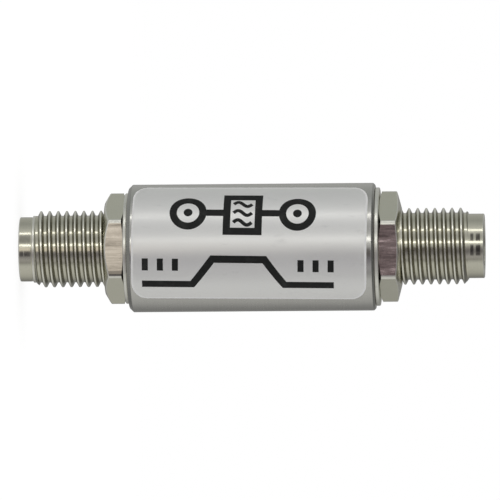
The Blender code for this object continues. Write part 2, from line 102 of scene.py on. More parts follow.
# How wide the broken edges are, and how near the body's chamfers a ring of points holds its surface.
BODY_EDGE = 0.05 * MM
BODY_HOLD = 0.07 * MM
WASHER_EDGE = 0.09 * MM
HEX_CORNER = 0.22 * MM
HEX_EDGE = 0.07 * MM
INSULATOR_EDGE = 0.04 * MM
FINGER_EDGE = 0.03 * MM

# The photograph's frame: a square, the filter lying along it with its upper end to the right.
PIXELS_PER_METRE = 12150.0
FRAME_PIXELS = 500
LEFT_END_PIXEL = 20.0
AXIS_PIXEL = 247.6
CAMERA_DISTANCE = 0.840
CAMERA_RISE = math.radians(3.1)
CAMERA_ROLL = math.radians(0.45)
SENSOR_WIDTH = 36.0

# A jack stands in its own frame on the back of its hexagon, and these two places put it on the part.
UPPER_JACK = Matrix.Translation((0.0, 0.0, 29.69 * MM))
LOWER_JACK = Matrix.Translation((0.0, 0.0, JACK_LENGTH)) @ Matrix.Rotation(math.pi, 4, "Y")

SPIN_STEPS = 96
BODY_STEPS = 128
HEX_STEPS = 144
FINGER_STEPS = 14


def along_pixel(pixel):
    """The level on the filter's axis that a column of the photograph shows."""
    return (pixel - LEFT_END_PIXEL) / PIXELS_PER_METRE


# Shader maths


class Wire:
    """One output in a node tree, so that sums on it can be written as sums."""

    def __init__(self, tree, socket):
        self.tree = tree
        self.socket = socket

    def work(self, operation, *values):
        return self.tree.node("ShaderNodeMath", {"operation": operation}, dict(enumerate(values)))

    def __add__(self, other):
        return self.work("ADD", self, other)

    def __radd__(self, other):
        return self.work("ADD", other, self)

    def __sub__(self, other):
        return self.work("SUBTRACT", self, other)

    def __rsub__(self, other):
        return self.work("SUBTRACT", other, self)

    def __mul__(self, other):
        return self.work("MULTIPLY", self, other)

    def __truediv__(self, other):
        return self.work("DIVIDE", self, other)

    def __pow__(self, other):
        return self.work("POWER", self, other)

    def __abs__(self):
        return self.work("ABSOLUTE", self)

    def turn(self, other):
        """The angle whose sine and cosine go as this one and the other."""
        return self.work("ARCTAN2", self, other)


class Nodes:
    """A material's or the world's node tree."""

    def __init__(self, owner):
        owner.use_nodes = True
        self.tree = owner.node_tree
        self.tree.nodes.clear()

    def node(self, kind, settings, inputs, output=0):
        """Adds a node, its settings first, and gives one of its outputs."""
        made = self.tree.nodes.new(kind)
        for name, value in settings.items():
            if name == "stops":
                self.set_stops(made.color_ramp, value)
            else:
                setattr(made, name, value)
        for name, value in inputs.items():
            if isinstance(value, Wire):
                self.tree.links.new(value.socket, made.inputs[name])
            else:
                made.inputs[name].default_value = value
        return Wire(self, made.outputs[output]) if made.outputs else made

    def set_stops(self, ramp, stops):
        """Gives a colour ramp its stops, each a position and a colour."""
        while len(ramp.elements) < len(stops):
            ramp.elements.new(1.0)
        for element, (position, colour) in zip(ramp.elements, stops):
            element.position = position
            element.color = colour

    def place(self):
        """The three coordinates of a point of the piece."""
        where = self.node("ShaderNodeTexCoord", {}, {}, "Object")
        return [self.node("ShaderNodeSeparateXYZ", {}, {0: where}, axis) for axis in range(3)]

    def point(self, x, y, z):
        return self.node("ShaderNodeCombineXYZ", {}, {0: x, 1: y, 2: z})

    def noise(self, where, scale, detail=3.0, roughness=0.5):
        return self.node(
            "ShaderNodeTexNoise",
            {"noise_dimensions": "3D"},
            {"Vector": where, "Scale": scale, "Detail": detail, "Roughness": roughness},
        )

    def lines(self, along, scale, detail=3.0, roughness=0.6):
        """Noise that changes along one coordinate only, as tool marks do."""
        return self.node(
            "ShaderNodeTexNoise",
            {"noise_dimensions": "1D"},
            {"W": along, "Scale": scale, "Detail": detail, "Roughness": roughness},
        )

    def stretch(self, value, low, high, to_low, to_high, course="LINEAR"):
        """Turns one range of values into another and goes no further."""
        return self.node(
            "ShaderNodeMapRange",
            {"clamp": True, "interpolation_type": course},
            {"Value": value, "From Min": low, "From Max": high, "To Min": to_low, "To Max": to_high},
        )

    def mix(self, factor, first, second):
        """One colour turning into another."""
        settings = {"data_type": "RGBA", "clamp_factor": True}
        return self.node("ShaderNodeMix", settings, {0: factor, 6: first, 7: second}, 2)

    def band(self, value, low, high, soft):
        """One between two values, falling to nothing over a soft edge at both."""
        rise = self.stretch(value, low - soft, low, 0.0, 1.0)
        return rise * self.stretch(value, high, high + soft, 1.0, 0.0)

    def bump(self, height, strength, distance):
        return self.node(
            "ShaderNodeBump", {}, {"Height": height, "Strength": strength, "Distance": distance}
        )

    def glow(self, colour, strength=1.0):
        return self.node("ShaderNodeEmission", {}, {"Color": colour, "Strength": strength})

    def show(self, surface):
        self.node("ShaderNodeOutputMaterial", {}, {"Surface": surface})

    def surface(self, **inputs):
        """The finished surface, with its sockets named in plain words."""
        sockets = {}
        for name, value in inputs.items():
            sockets[name.replace("_", " ").title().replace("Ior", "IOR")] = value
        self.show(self.node("ShaderNodeBsdfPrincipled", {}, sockets))


def grey(value, tint=(1.0, 1.0, 1.0)):
    return (value * tint[0], value * tint[1], value * tint[2], 1.0)


def shades(base, change):
    """A colour and its darker and lighter neighbours."""
    return [tuple(min(1.0, part * (1.0 + step)) for part in base) + (1.0,) for step in (-change, change)]


# Finishes

JACK_NICKEL = (0.70, 0.685, 0.575)
BODY_NICKEL = (0.66, 0.655, 0.625)
# A darker nickel for the body's chamfers: painted shade.
CHAMFER_SHADE_NICKEL = (0.44, 0.44, 0.415)
# A lighter nickel for broken edges, the lower nose's rim and the nose's end bevel: a painted highlight.
HIGHLIGHT_NICKEL = (0.93, 0.915, 0.84)
WASHER_NICKEL = (0.93, 0.92, 0.85)
PLAIN_FLAT = (0.80, 0.79, 0.67)
FOIL = (0.94, 0.94, 0.925)

# How rough the jacks are turned: roughness, and the scale and depth of the tool's rings.
JACK_TURNING = (0.17, 9000.0, 0.004 * MM)

# Painted dark reflections on the noses, laid at fixed turns from the camera's side: the turn in degrees
# that each runs from and to, its levels, and its depth.
LOWER_NOSE_DARK_REFLECTIONS = [
    (-24.0, -13.0, 0.08 * MM, 0.95 * MM, 0.40),
    (5.5, 10.5, 0.14 * MM, 0.36 * MM, 0.75),
    (5.5, 10.5, 0.52 * MM, 0.92 * MM, 0.75),
]
UPPER_NOSE_DARK_REFLECTIONS = [
    (-20.5, -11.0, 37.19 * MM, 37.37 * MM, 0.85),
    (-20.5, -11.0, 37.64 * MM, 37.92 * MM, 0.92),
    (0.0, 15.0, 37.18 * MM, 37.38 * MM, 0.92),
    (0.0, 15.0, 37.64 * MM, 37.94 * MM, 0.95),
]
MARK_SOFT_TURN = math.radians(4.0)
MARK_SOFT_LEVEL = 0.07 * MM


def turned_nickel(name, colour, roughness, line_scale, line_depth, marks=()):
    """Nickel plate over a turned surface: fine rings round the axis, clouds, scuffs and, where given,
    painted dark reflections.
    """
    material = bpy.data.materials.new(name)
    nodes = Nodes(material)
    x, y, z = nodes.place()
    rings = nodes.lines(z, line_scale)
    clouds = nodes.noise(nodes.point(x, y, z), 700.0, 4.0, 0.6)
    scuffs = nodes.noise(nodes.point(x * 3.0, y * 3.0, z), 2600.0, 2.0, 0.7)
    worn = nodes.stretch(scuffs, 0.60, 0.72, 0.0, 1.0)
    dark, light = shades(colour, 0.09)
    tone = nodes.mix(rings * 0.45 + clouds * 0.55, dark, light)
    tone = nodes.mix(worn * 0.35, tone, grey(0.50, (1.0, 0.96, 0.86)))
    # Painted dark reflections: bands at fixed turns from the camera's side, broken up by noise, darken the
    # tone.
    if marks:
        blots = nodes.noise(nodes.point(x, y, z), 2400.0, 3.0, 0.6)
        turn = x.turn(y * -1.0)
        for from_turn, to_turn, low, high, depth in marks:
            mark = nodes.band(turn, math.radians(from_turn), math.radians(to_turn), MARK_SOFT_TURN)
            mark = mark * nodes.band(z, low, high, MARK_SOFT_LEVEL)
            mark = mark * nodes.stretch(blots, 0.30, 0.55, 0.65, 1.0)
            tone = nodes.mix(mark * depth, tone, grey(0.10, (1.0, 0.96, 0.86)))
    nodes.surface(
        base_color=tone,
        metallic=1.0,
        roughness=roughness + (clouds - 0.5) * 0.14 + (rings - 0.5) * 0.08 + worn * 0.10,
        normal=nodes.bump(rings, 0.35, line_depth),
    )
    return material


def threaded_nickel():
    """The thread's nickel: a painted highlight on the crests, painted shade on the flanks, the root left
    clean.
    """
    material = bpy.data.materials.new("threaded_nickel")
    nodes = Nodes(material)
    x, y, z = nodes.place()
    reach = (x * x + y * y) ** 0.5
    height = nodes.stretch(reach, ROOT_RADIUS, CREST_RADIUS, 0.0, 1.0)
    painted_highlight = nodes.stretch(height, 0.80, 0.92, 0.0, 1.0)
    flank_shade = nodes.stretch(height, 0.02, 0.12, 0.0, 1.0) * (1.0 - painted_highlight)
    clouds = nodes.noise(nodes.point(x, y, z), 900.0, 4.0, 0.6)
    dust = nodes.stretch(nodes.noise(nodes.point(x, y, z), 2100.0, 3.0, 0.6), 0.56, 0.72, 0.0, 1.0)
    dark, light = shades(JACK_NICKEL, 0.08)
    tone = nodes.mix(clouds, dark, light)
    # Painted shade darkens the flanks and a painted highlight lightens the crests; the dust darkens only
    # inside the painted flank shade.
    tone = nodes.mix(flank_shade * 0.62, tone, grey(0.24, (1.0, 0.98, 0.82)))
    tone = nodes.mix(painted_highlight * 0.95, tone, grey(0.98, (1.0, 0.985, 0.89)))
    tone = nodes.mix(dust * flank_shade * 0.5, tone, grey(0.10, (1.0, 0.92, 0.74)))
    nodes.surface(
        base_color=tone,
        metallic=1.0,
        roughness=0.15 + (clouds - 0.5) * 0.08 + flank_shade * 0.10 + painted_highlight * 0.08,
        normal=nodes.bump(clouds, 0.08, 0.004 * MM),
    )
    return material


def milled_nickel(name, tint, edge_darkening, glint):
    """The flats that the cutter left rough: tinted streaks along the axis, and darker towards the edge at
    positive x.
    """
    material = bpy.data.materials.new(name)
    nodes = Nodes(material)
    x, y, z = nodes.place()
    streaks = nodes.noise(nodes.point(x, y, z * 0.06), 5200.0, 5.0, 0.62)
    bands = nodes.noise(nodes.point(x, y, z * 0.10), 1500.0, 2.0, 0.5)
    specks = nodes.noise(nodes.point(x, y, z * 0.35), 7000.0, 3.0, 0.6)
    mark = streaks * 0.55 + bands * 0.30 + specks * 0.15
    tone = nodes.node(
        "ShaderNodeValToRGB",
        {
            "stops": [
                (0.36, grey(0.32, tint)),
                (0.46, grey(0.60, tint)),
                (0.55, grey(0.74, tint)),
                (0.64, grey(0.98, tint)),
            ]
        },
        {0: mark},
    )
    # Darker towards the edge at positive x.
    darker_side = nodes.stretch(x + (bands - 0.5) * 0.0004, 1.74 * MM, 1.86 * MM, 0.0, edge_darkening)
    tone = nodes.mix(darker_side, tone, grey(0.22, tint))
    nodes.surface(
        base_color=tone,
        metallic=1.0 - nodes.stretch(mark, 0.55, 0.62, 0.0, glint),
        roughness=0.20 + (mark - 0.5) * 0.35,
        normal=nodes.bump(mark, 0.5, 0.012 * MM),
    )
    return material


def label_foil(name, value, metallic):
    """Satin silver film: a fine grain, a faint drift of tone and a few worn spots."""
    material = bpy.data.materials.new(name)
    nodes = Nodes(material)
    x, y, z = nodes.place()
    grain = nodes.noise(nodes.point(x, y, z), 9000.0, 2.0, 0.6)
    drift = nodes.noise(nodes.point(x, y, z), 160.0, 2.0, 0.5)
    rubs = nodes.stretch(nodes.noise(nodes.point(x, y, z * 0.4), 1100.0, 4.0, 0.65), 0.62, 0.74, 0.0, 1.0)
    base = tuple(part * value for part in FOIL)
    dark, light = shades(base, 0.05)
    tone = nodes.mix(grain * 0.5 + drift * 0.5, dark, light)
    tone = nodes.mix(rubs * 0.25, tone, grey(0.62))
    nodes.surface(
        base_color=tone,
        metallic=metallic,
        roughness=0.34 + (drift - 0.5) * 0.08 + (grain - 0.5) * 0.10 + rubs * 0.08,
        normal=nodes.bump(grain, 0.12, 0.004 * MM),
    )
    return material


def label_ink():
    """Matt black print, a little thin and grey here and there."""
    material = bpy.data.materials.new("label_ink")
    nodes = Nodes(material)
    x, y, z = nodes.place()
    grain = nodes.noise(nodes.point(x, y, z), 5000.0, 3.0, 0.6)
    thin = nodes.stretch(nodes.noise(nodes.point(x, y, z), 1300.0, 3.0, 0.6), 0.55, 0.75, 0.0, 1.0)
    tone = nodes.mix(grain, (0.009, 0.010, 0.010, 1.0), (0.022, 0.023, 0.022, 1.0))
    tone = nodes.mix(thin * 0.4, tone, (0.06, 0.062, 0.06, 1.0))
    nodes.surface(
        base_color=tone,
        roughness=0.48 + (grain - 0.5) * 0.2,
        specular_ior_level=0.2,
        normal=nodes.bump(grain, 0.2, 0.003 * MM),
    )
    return material


def plastic(name, colour, roughness, change=0.05, scale=1500.0, **sockets):
    """A moulded, pressed or baked piece: a drift of tone, a finer grain and their bump."""
    material = bpy.data.materials.new(name)
    nodes = Nodes(material)
    x, y, z = nodes.place()
    clouds = nodes.noise(nodes.point(x, y, z), scale, 3.0, 0.55)
    grain = nodes.noise(nodes.point(x, y, z), scale * 6.0, 2.0, 0.6)
    dark, light = shades(colour, change)
    nodes.surface(
        base_color=nodes.mix(clouds * 0.6 + grain * 0.4, dark, light),
        roughness=roughness + (clouds - 0.5) * 0.16 + (grain - 0.5) * 0.08,
        normal=nodes.bump(grain, 0.2, 0.006 * MM),
        **sockets,
    )
    return material


def woven_laminate():
    """Glass-cloth board: the weave's crossed threads show through the resin."""
    material = bpy.data.materials.new("woven_laminate")
    nodes = Nodes(material)
    x, y, z = nodes.place()
    warp, weft = [
        nodes.node(
            "ShaderNodeTexWave",
            {"bands_direction": direction},
            {"Vector": nodes.point(x, y, z), "Scale": 700.0, "Distortion": 0.6},
        )
        for direction in "XZ"
    ]
    weave = warp * 0.5 + weft * 0.5
    nodes.surface(
        base_color=nodes.mix(weave, (0.035, 0.13, 0.06, 1.0), (0.06, 0.19, 0.09, 1.0)),
        roughness=0.38 + (weave - 0.5) * 0.15,
        normal=nodes.bump(weave, 0.3, 0.01 * MM),
    )
    return material


def make_finishes():
    return {
        "jack": turned_nickel("turned_jack_nickel", JACK_NICKEL, *JACK_TURNING),
        "thread": threaded_nickel(),
        "lower_nose": turned_nickel("lower_nose_nickel", JACK_NICKEL, *JACK_TURNING, LOWER_NOSE_DARK_REFLECTIONS),
        "upper_nose": turned_nickel("upper_nose_nickel", JACK_NICKEL, *JACK_TURNING, UPPER_NOSE_DARK_REFLECTIONS),
        "lower_flats": milled_nickel("milled_nickel", (1.0, 0.95, 0.85), 0.75, 0.12),
        "upper_flats": milled_nickel("tinted_milled_nickel", (1.0, 0.80, 0.80), 0.0, 0.45),
        "back_flats": milled_nickel("plain_milled_nickel", (1.0, 0.97, 0.88), 0.0, 0.12),
        "plain_flats": plastic("plain_flat_nickel", PLAIN_FLAT, 0.20, 0.05, 800.0, metallic=1.0),
        "painted_highlight": turned_nickel("highlight_rim_nickel", HIGHLIGHT_NICKEL, 0.30, 9000.0, 0.003 * MM),
        "washer": turned_nickel("turned_washer_nickel", WASHER_NICKEL, 0.30, 14000.0, 0.003 * MM),
        "body": turned_nickel("turned_body_nickel", BODY_NICKEL, 0.20, 6000.0, 0.004 * MM),
        "chamfer": turned_nickel("shaded_chamfer_nickel", CHAMFER_SHADE_NICKEL, 0.24, 6000.0, 0.004 * MM),
        "foil": label_foil("label_foil", 1.0, 0.55),
        "foil_edge": label_foil("label_foil_edge", 1.06, 0.0),
        "ink": label_ink(),
        "fluoropolymer": plastic("fluoropolymer", (0.84, 0.83, 0.79), 0.36, 0.03),
        "gold": plastic("gold_plate", (0.92, 0.68, 0.30), 0.20, 0.08, 2600.0, metallic=1.0),
        "copper": plastic("plated_copper", (0.90, 0.62, 0.36), 0.26, 0.10, 1800.0, metallic=1.0),
        "laminate": woven_laminate(),
        "ceramic": plastic("ceramic_package", (0.30, 0.28, 0.26), 0.45, 0.10),
        "lid": plastic("package_lid", (0.84, 0.70, 0.42), 0.24, 0.08, 2200.0, metallic=1.0),
        "ferrite": plastic("ferrite_chip", (0.10, 0.10, 0.11), 0.42, 0.20),
        "dielectric": plastic("dielectric_chip", (0.42, 0.31, 0.20), 0.40, 0.12),
        "solder": plastic("solder", (0.70, 0.71, 0.72), 0.25, 0.10, 2400.0, metallic=1.0),
    }


# Shaping


def meets_softly(edge):
    """Says whether two faces share a smooth surface, so that a flat beside a small bevel stays flat."""
    if len(edge.link_faces) != 2:
        return False
    turn = edge.calc_face_angle(0.0)
    small, large = sorted(face.calc_area() for face in edge.link_faces)
    return turn < math.radians(3.0) or (turn < math.radians(32.0) and small > 0.15 * large)


def close_up(mesh):
    """Merges the points that an operator left double, and turns every face outwards."""
    bmesh.ops.remove_doubles(mesh, verts=mesh.verts, dist=1e-7)
    bmesh.ops.recalc_face_normals(mesh, faces=mesh.faces)


def break_edges(mesh, width, segments=2, sharpest=math.radians(25.0), only=None):
    """Bevels the edges that turn sharply, as a deburring tool does."""
    edges = [
        edge
        for edge in mesh.edges
        if len(edge.link_faces) == 2
        and edge.calc_face_angle(0.0) > sharpest
        and (only is None or only(edge))
    ]
    bmesh.ops.bevel(
        mesh,
        geom=edges,
        offset=width,
        offset_type="OFFSET",
        segments=segments,
        profile=0.5,
        affect="EDGES",
        clamp_overlap=True,
        material=-1,
    )


def sweep(mesh, geom, angle, steps, climb=0.0, join=False):
    """Takes an outline round the axis, rising by the same climb at each step."""
    bmesh.ops.spin(
        mesh,
        geom=geom,
        cent=(0.0, 0.0, 0.0),
        axis=(0.0, 0.0, 1.0),
        dvec=(0.0, 0.0, climb),
        angle=angle,
        steps=steps,
        use_merge=join,
    )


def cut(mesh, point, facing, near, clear_outer=False):
    """Cuts a mesh along a plane, and can clear away what lies on its far side."""
    bmesh.ops.bisect_plane(
        mesh,
        geom=mesh.verts[:] + mesh.edges[:] + mesh.faces[:],
        dist=near,
        plane_co=point,
        plane_no=facing,
        clear_outer=clear_outer,
    )


def extrude(mesh, edges):
    """Draws walls out of the edges, and gives their new points, edges and faces."""
    made = bmesh.ops.extrude_edge_only(mesh, edges=edges)["geom"]
    kinds = (bmesh.types.BMVert, bmesh.types.BMEdge, bmesh.types.BMFace)
    return [[part for part in made if isinstance(part, kind)] for kind in kinds]


def spun(outline, steps=SPIN_STEPS):
    """Turns a closed outline of (radius, level) pairs once round the axis."""
    mesh = bmesh.new()
    corners = [mesh.verts.new((radius, 0.0, level)) for radius, level in outline]
    edges = [mesh.edges.new(pair) for pair in zip(corners, corners[1:] + corners[:1])]
    sweep(mesh, corners + edges, math.tau, steps, join=True)
    close_up(mesh)
    return mesh


def spun_ring(inner, outer, low, high, steps=SPIN_STEPS):
    return spun([(inner, low), (outer, low), (outer, high), (inner, high)], steps)


def new_object(name, mesh, materials=()):
    """Puts a finished mesh into the scene."""
    data = bpy.data.meshes.new(name)
    mesh.to_mesh(data)
    mesh.free()
    for material in materials:
        data.materials.append(material)
    thing = bpy.data.objects.new(name, data)
    bpy.context.scene.collection.objects.link(thing)
    return thing


def finish_piece(name, mesh, finishes, node, place=None):
    """Makes the mesh a piece that rides on the part and stands for its CAD node."""
    if place is not None:
        bmesh.ops.transform(mesh, matrix=place, verts=mesh.verts)
    mesh.normal_update()
    for face in mesh.faces:
        face.smooth = True
    for edge in mesh.edges:
        edge.smooth = meets_softly(edge)
    piece = new_object(name, mesh, finishes)
    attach(piece, "root")
    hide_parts(node)
    return piece


# The body


def make_housing(finishes):
    """The turned tube, its two chamfers darker than its side: painted shade."""
    low_corner = BODY_LOW + BODY_LOW_CHAMFER
    high_corner = BODY_HIGH - BODY_HIGH_CHAMFER
    mesh = spun(
        [
            (SEAT_RADIUS, BODY_LOW),
            (BODY_RADIUS - BODY_LOW_CHAMFER, BODY_LOW),
            (BODY_RADIUS, low_corner),
            (BODY_RADIUS, low_corner + BODY_HOLD),
            (BODY_RADIUS, high_corner - BODY_HOLD),
            (BODY_RADIUS, high_corner),
            (BODY_RADIUS - BODY_HIGH_CHAMFER, BODY_HIGH),
            (SEAT_RADIUS, BODY_HIGH),
            (SEAT_RADIUS, BODY_HIGH - SPIGOT_REACH),
            (BORE_RADIUS, BODY_HIGH - SPIGOT_REACH),
            (BORE_RADIUS, BODY_LOW + SPIGOT_REACH),
            (SEAT_RADIUS, BODY_LOW + SPIGOT_REACH),
        ],
        BODY_STEPS,
    )
    break_edges(mesh, BODY_EDGE, 4)
    mesh.normal_update()
    # Faces on the two chamfers take the darker nickel: painted shade.
    for face in mesh.faces:
        middle = face.calc_center_median()
        on_end = middle.z < low_corner or middle.z > high_corner
        if on_end and 0.3 < abs(face.normal.z) < 0.95 and middle.xy.length > SEAT_RADIUS + 1.0 * MM:
            face.material_index = 1
    finish_piece("housing_tube", mesh, [finishes["body"], finishes["chamfer"]], "housing")


def make_washer(name, node, heel, finishes):
    """A thin ring under the hexagon, its rim rolled round."""
    low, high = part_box(node)
    mesh = spun_ring(SEAT_RADIUS, high.x, low.z + heel, high.z + heel, BODY_STEPS)
    break_edges(mesh, WASHER_EDGE, 4)
    finish_piece(name, mesh, [finishes["washer"]], node)


# The label and its print, drawn flat as (along the axis, round the body, above it) and then bent


def bend_round_body(mesh):
    """Turns a flat sheet a little askew, cuts it into narrow strips and lays them round the body."""
    centre = ((LABEL_LOW + LABEL_HIGH) / 2, (LABEL_UP - LABEL_DOWN) / 2 * BODY_RADIUS, 0.0)
    bmesh.ops.rotate(mesh, verts=mesh.verts, cent=centre, matrix=Matrix.Rotation(LABEL_SKEW, 3, "Z"))
    low = min(vertex.co.y for vertex in mesh.verts)
    high = max(vertex.co.y for vertex in mesh.verts)
    strips = max(1, math.ceil((high - low) / LABEL_STRIP))
    for strip in range(1, strips):
        cut(mesh, (0.0, low + (high - low) * strip / strips, 0.0), (0.0, 1.0, 0.0), 1e-8)
    for vertex in mesh.verts:
        along, around, above = vertex.co
        angle = around / BODY_RADIUS
        reach = BODY_RADIUS + above
        vertex.co = (-reach * math.sin(angle), -reach * math.cos(angle), along)


def make_label(finishes):
    mesh = bmesh.new()
    corners = [
        mesh.verts.new((along, angle * BODY_RADIUS / LABEL_CORNER_STRETCH, LABEL_THICKNESS))
        for along, angle in (
            (LABEL_LOW, -LABEL_DOWN),
            (LABEL_HIGH, -LABEL_DOWN),
            (LABEL_HIGH, LABEL_UP),
            (LABEL_LOW, LABEL_UP),
        )
    ]
    mesh.faces.new(corners)
    bmesh.ops.bevel(
        mesh,
        geom=mesh.verts[:],
        offset=LABEL_CORNER,
        offset_type="OFFSET",
        segments=12,
        profile=0.5,
        affect="VERTICES",
        material=-1,
    )
    bmesh.ops.scale(mesh, verts=mesh.verts, vec=(1.0, LABEL_CORNER_STRETCH, 1.0))
    rim = bmesh.ops.inset_region(
        mesh,
        faces=mesh.faces[:],
        use_boundary=True,
        use_even_offset=True,
        thickness=LABEL_RIM,
        depth=0.0,
    )["faces"]
    for face in rim:
        face.material_index = 1
    border = [edge for edge in mesh.edges if len(edge.link_faces) == 1]
    points, _, walls = extrude(mesh, border)
    for vertex in points:
        vertex.co.z = 0.0
    for face in walls:
        face.material_index = 1
    base = [edge for edge in mesh.edges if len(edge.link_faces) == 1]
    bmesh.ops.edgeloop_fill(mesh, edges=base)
    close_up(mesh)
    bend_round_body(mesh)
    finish_piece("label_sheet", mesh, [finishes["foil"], finishes["foil_edge"]], "label")


INK_LOW = LABEL_THICKNESS - 0.004 * MM
INK_HIGH = LABEL_THICKNESS + 0.006 * MM
BOLD_LINE = 0.60 * MM
TICK_LINE = 0.50 * MM
FINE_LINE = 0.30 * MM
PRINT_UPPER_ROW = math.radians(32.0) * BODY_RADIUS
PRINT_LOWER_ROW = math.radians(-22.5) * BODY_RADIUS
PORTS = (along_pixel(191.0), along_pixel(300.0))
PORT_RADIUS = 1.22 * MM
PORT_DOT = 0.36 * MM
PORT_EDGE = 1.50 * MM
BOX_MIDDLE = along_pixel(245.5)
BOX_HALF_WIDTH = 1.30 * MM
BOX_HALF_HEIGHT = 1.62 * MM
WAVE_SPACING = 0.86 * MM
WAVE_LENGTH = 1.50 * MM
WAVE_RISE = 0.22 * MM
BAND_HALF_HEIGHT = 1.10 * MM
# The columns of the photograph at which the band's outline turns, with -1 for its foot and 1 for its top.
BAND_TURNS = ((146.0, -1), (196.0, -1), (216.0, 1), (268.0, 1), (288.0, -1), (337.0, -1))
TICKS = (149.0, 164.0, 179.0, 304.0, 319.0, 334.0)
TICK_FOOT = 0.10 * MM


def stroke(drawing, points, width, closed=False):
    """Lays one line of ink of even width through the points, with mitred corners."""
    path = bmesh.new()
    corners = [path.verts.new((along, around, INK_LOW)) for along, around in points]
    pairs = list(zip(corners, corners[1:]))
    if closed:
        pairs.append((corners[-1], corners[0]))
    edges = [path.edges.new(pair) for pair in pairs]
    for vertex in extrude(path, edges)[0]:
        vertex.co.z = INK_HIGH
    bmesh.ops.recalc_face_normals(path, faces=path.faces)
    line = new_object("ink_line", path)
    wall = line.modifiers.new("width", "SOLIDIFY")
    wall.thickness = width
    wall.offset = 0.0
    wall.use_even_offset = True
    view = bpy.context.evaluated_depsgraph_get()
    drawing.from_mesh(line.evaluated_get(view).to_mesh())
    data = line.data
    bpy.data.objects.remove(line)
    bpy.data.meshes.remove(data)


def dot(drawing, along, around, radius):
    """Fills one round spot of ink."""
    made = bmesh.ops.create_cone(
        drawing,
        cap_ends=True,
        segments=32,
        radius1=radius,
        radius2=radius,
        depth=INK_HIGH - INK_LOW,
    )
    bmesh.ops.translate(drawing, verts=made["verts"], vec=(along, around, (INK_LOW + INK_HIGH) / 2))


def circle_points(along, around, radius, count=64):
    turns = [math.tau * step / count for step in range(count)]
    return [(along + radius * math.cos(turn), around + radius * math.sin(turn)) for turn in turns]


def wave_points(along, around, length, rise, count=28):
    return [
        (along + length * (step / count - 0.5), around + rise * math.sin(math.tau * step / count))
        for step in range(count + 1)
    ]


def make_print(finishes):
    """Two rows of plain signs: a filter between two ports, and below it the band that it passes."""
    ink = bmesh.new()
    row = PRINT_UPPER_ROW
    for port in PORTS:
        stroke(ink, circle_points(port, row, PORT_RADIUS), BOLD_LINE, closed=True)
        dot(ink, port, row, PORT_DOT)
    left, right = BOX_MIDDLE - BOX_HALF_WIDTH, BOX_MIDDLE + BOX_HALF_WIDTH
    foot, top = row - BOX_HALF_HEIGHT, row + BOX_HALF_HEIGHT
    stroke(ink, [(left, foot), (right, foot), (right, top), (left, top)], BOLD_LINE, closed=True)
    for step in (-1, 0, 1):
        wave = wave_points(BOX_MIDDLE, row + step * WAVE_SPACING, WAVE_LENGTH, WAVE_RISE)
        stroke(ink, wave, FINE_LINE)
    stroke(ink, [(PORTS[0] + PORT_EDGE, row), (left - BOLD_LINE / 2, row)], BOLD_LINE)
    stroke(ink, [(right + BOLD_LINE / 2, row), (PORTS[1] - PORT_EDGE, row)], BOLD_LINE)
    row = PRINT_LOWER_ROW
    band = [(along_pixel(pixel), row + side * BAND_HALF_HEIGHT) for pixel, side in BAND_TURNS]
    stroke(ink, band, BOLD_LINE)
    for pixel in TICKS:
        middle = along_pixel(pixel)
        stroke(ink, [(middle, row + TICK_FOOT), (middle, row + BAND_HALF_HEIGHT)], TICK_LINE)
    bmesh.ops.recalc_face_normals(ink, faces=ink.faces)
    bend_round_body(ink)
    finish_piece("label_print", ink, [finishes["ink"]], "label")


# The jacks


# What differs between the ends. Heights, cones and turns are as the photograph shows them. A hexagon with a
# darker side has one of its front bevels milled too, on the side that the sign names.
LOWER_END = {
    "place": LOWER_JACK,
    "first_crest": 4.71 * MM,
    "hex_height": 1.50 * MM,
    "heel": LOWER_HEEL,
    "face_radius": 3.80 * MM,
    "cone": math.radians(30.0),
    "back_cone": math.radians(14.0),
    "turn": 0.0,
    "darker_side": -1,
    "rim": True,
}
UPPER_END = {
    "place": UPPER_JACK,
    "first_crest": 4.137 * MM,
    "hex_height": 1.76 * MM,
    "heel": 0.0,
    "face_radius": 3.20 * MM,
    "cone": math.radians(15.0),
    "back_cone": math.radians(20.0),
    "turn": math.radians(4.0),
    "darker_side": 0,
    "rim": False,
}

# The hexagon's finishes by their place in its list, after the plain turned one.
MILLED, EDGE_HIGHLIGHT, PLAIN, BACK = 1, 2, 3, 4


def hexagon_reach(angle):
    """How far the hexagon reaches at that angle from one of its corners."""
    side = math.radians(60.0)
    return ACROSS_FLATS / 2 / math.cos(angle % side - side / 2)


def side_finish(face, darker_side):
    """Which finish a side face takes: milled in front and behind, a painted highlight on the corner bevels,
    else plain.
    """
    across = face.calc_center_median().x
    if face.normal.y < -0.999 or (face.normal.y < -0.88 and across * darker_side > 0.0):
        return MILLED
    if face.normal.y > 0.999:
        return BACK
    from_corner = math.degrees(math.atan2(face.normal.y, face.normal.x)) % 60.0
    return PLAIN if abs(from_corner - 30.0) < 2.0 else EDGE_HIGHLIGHT


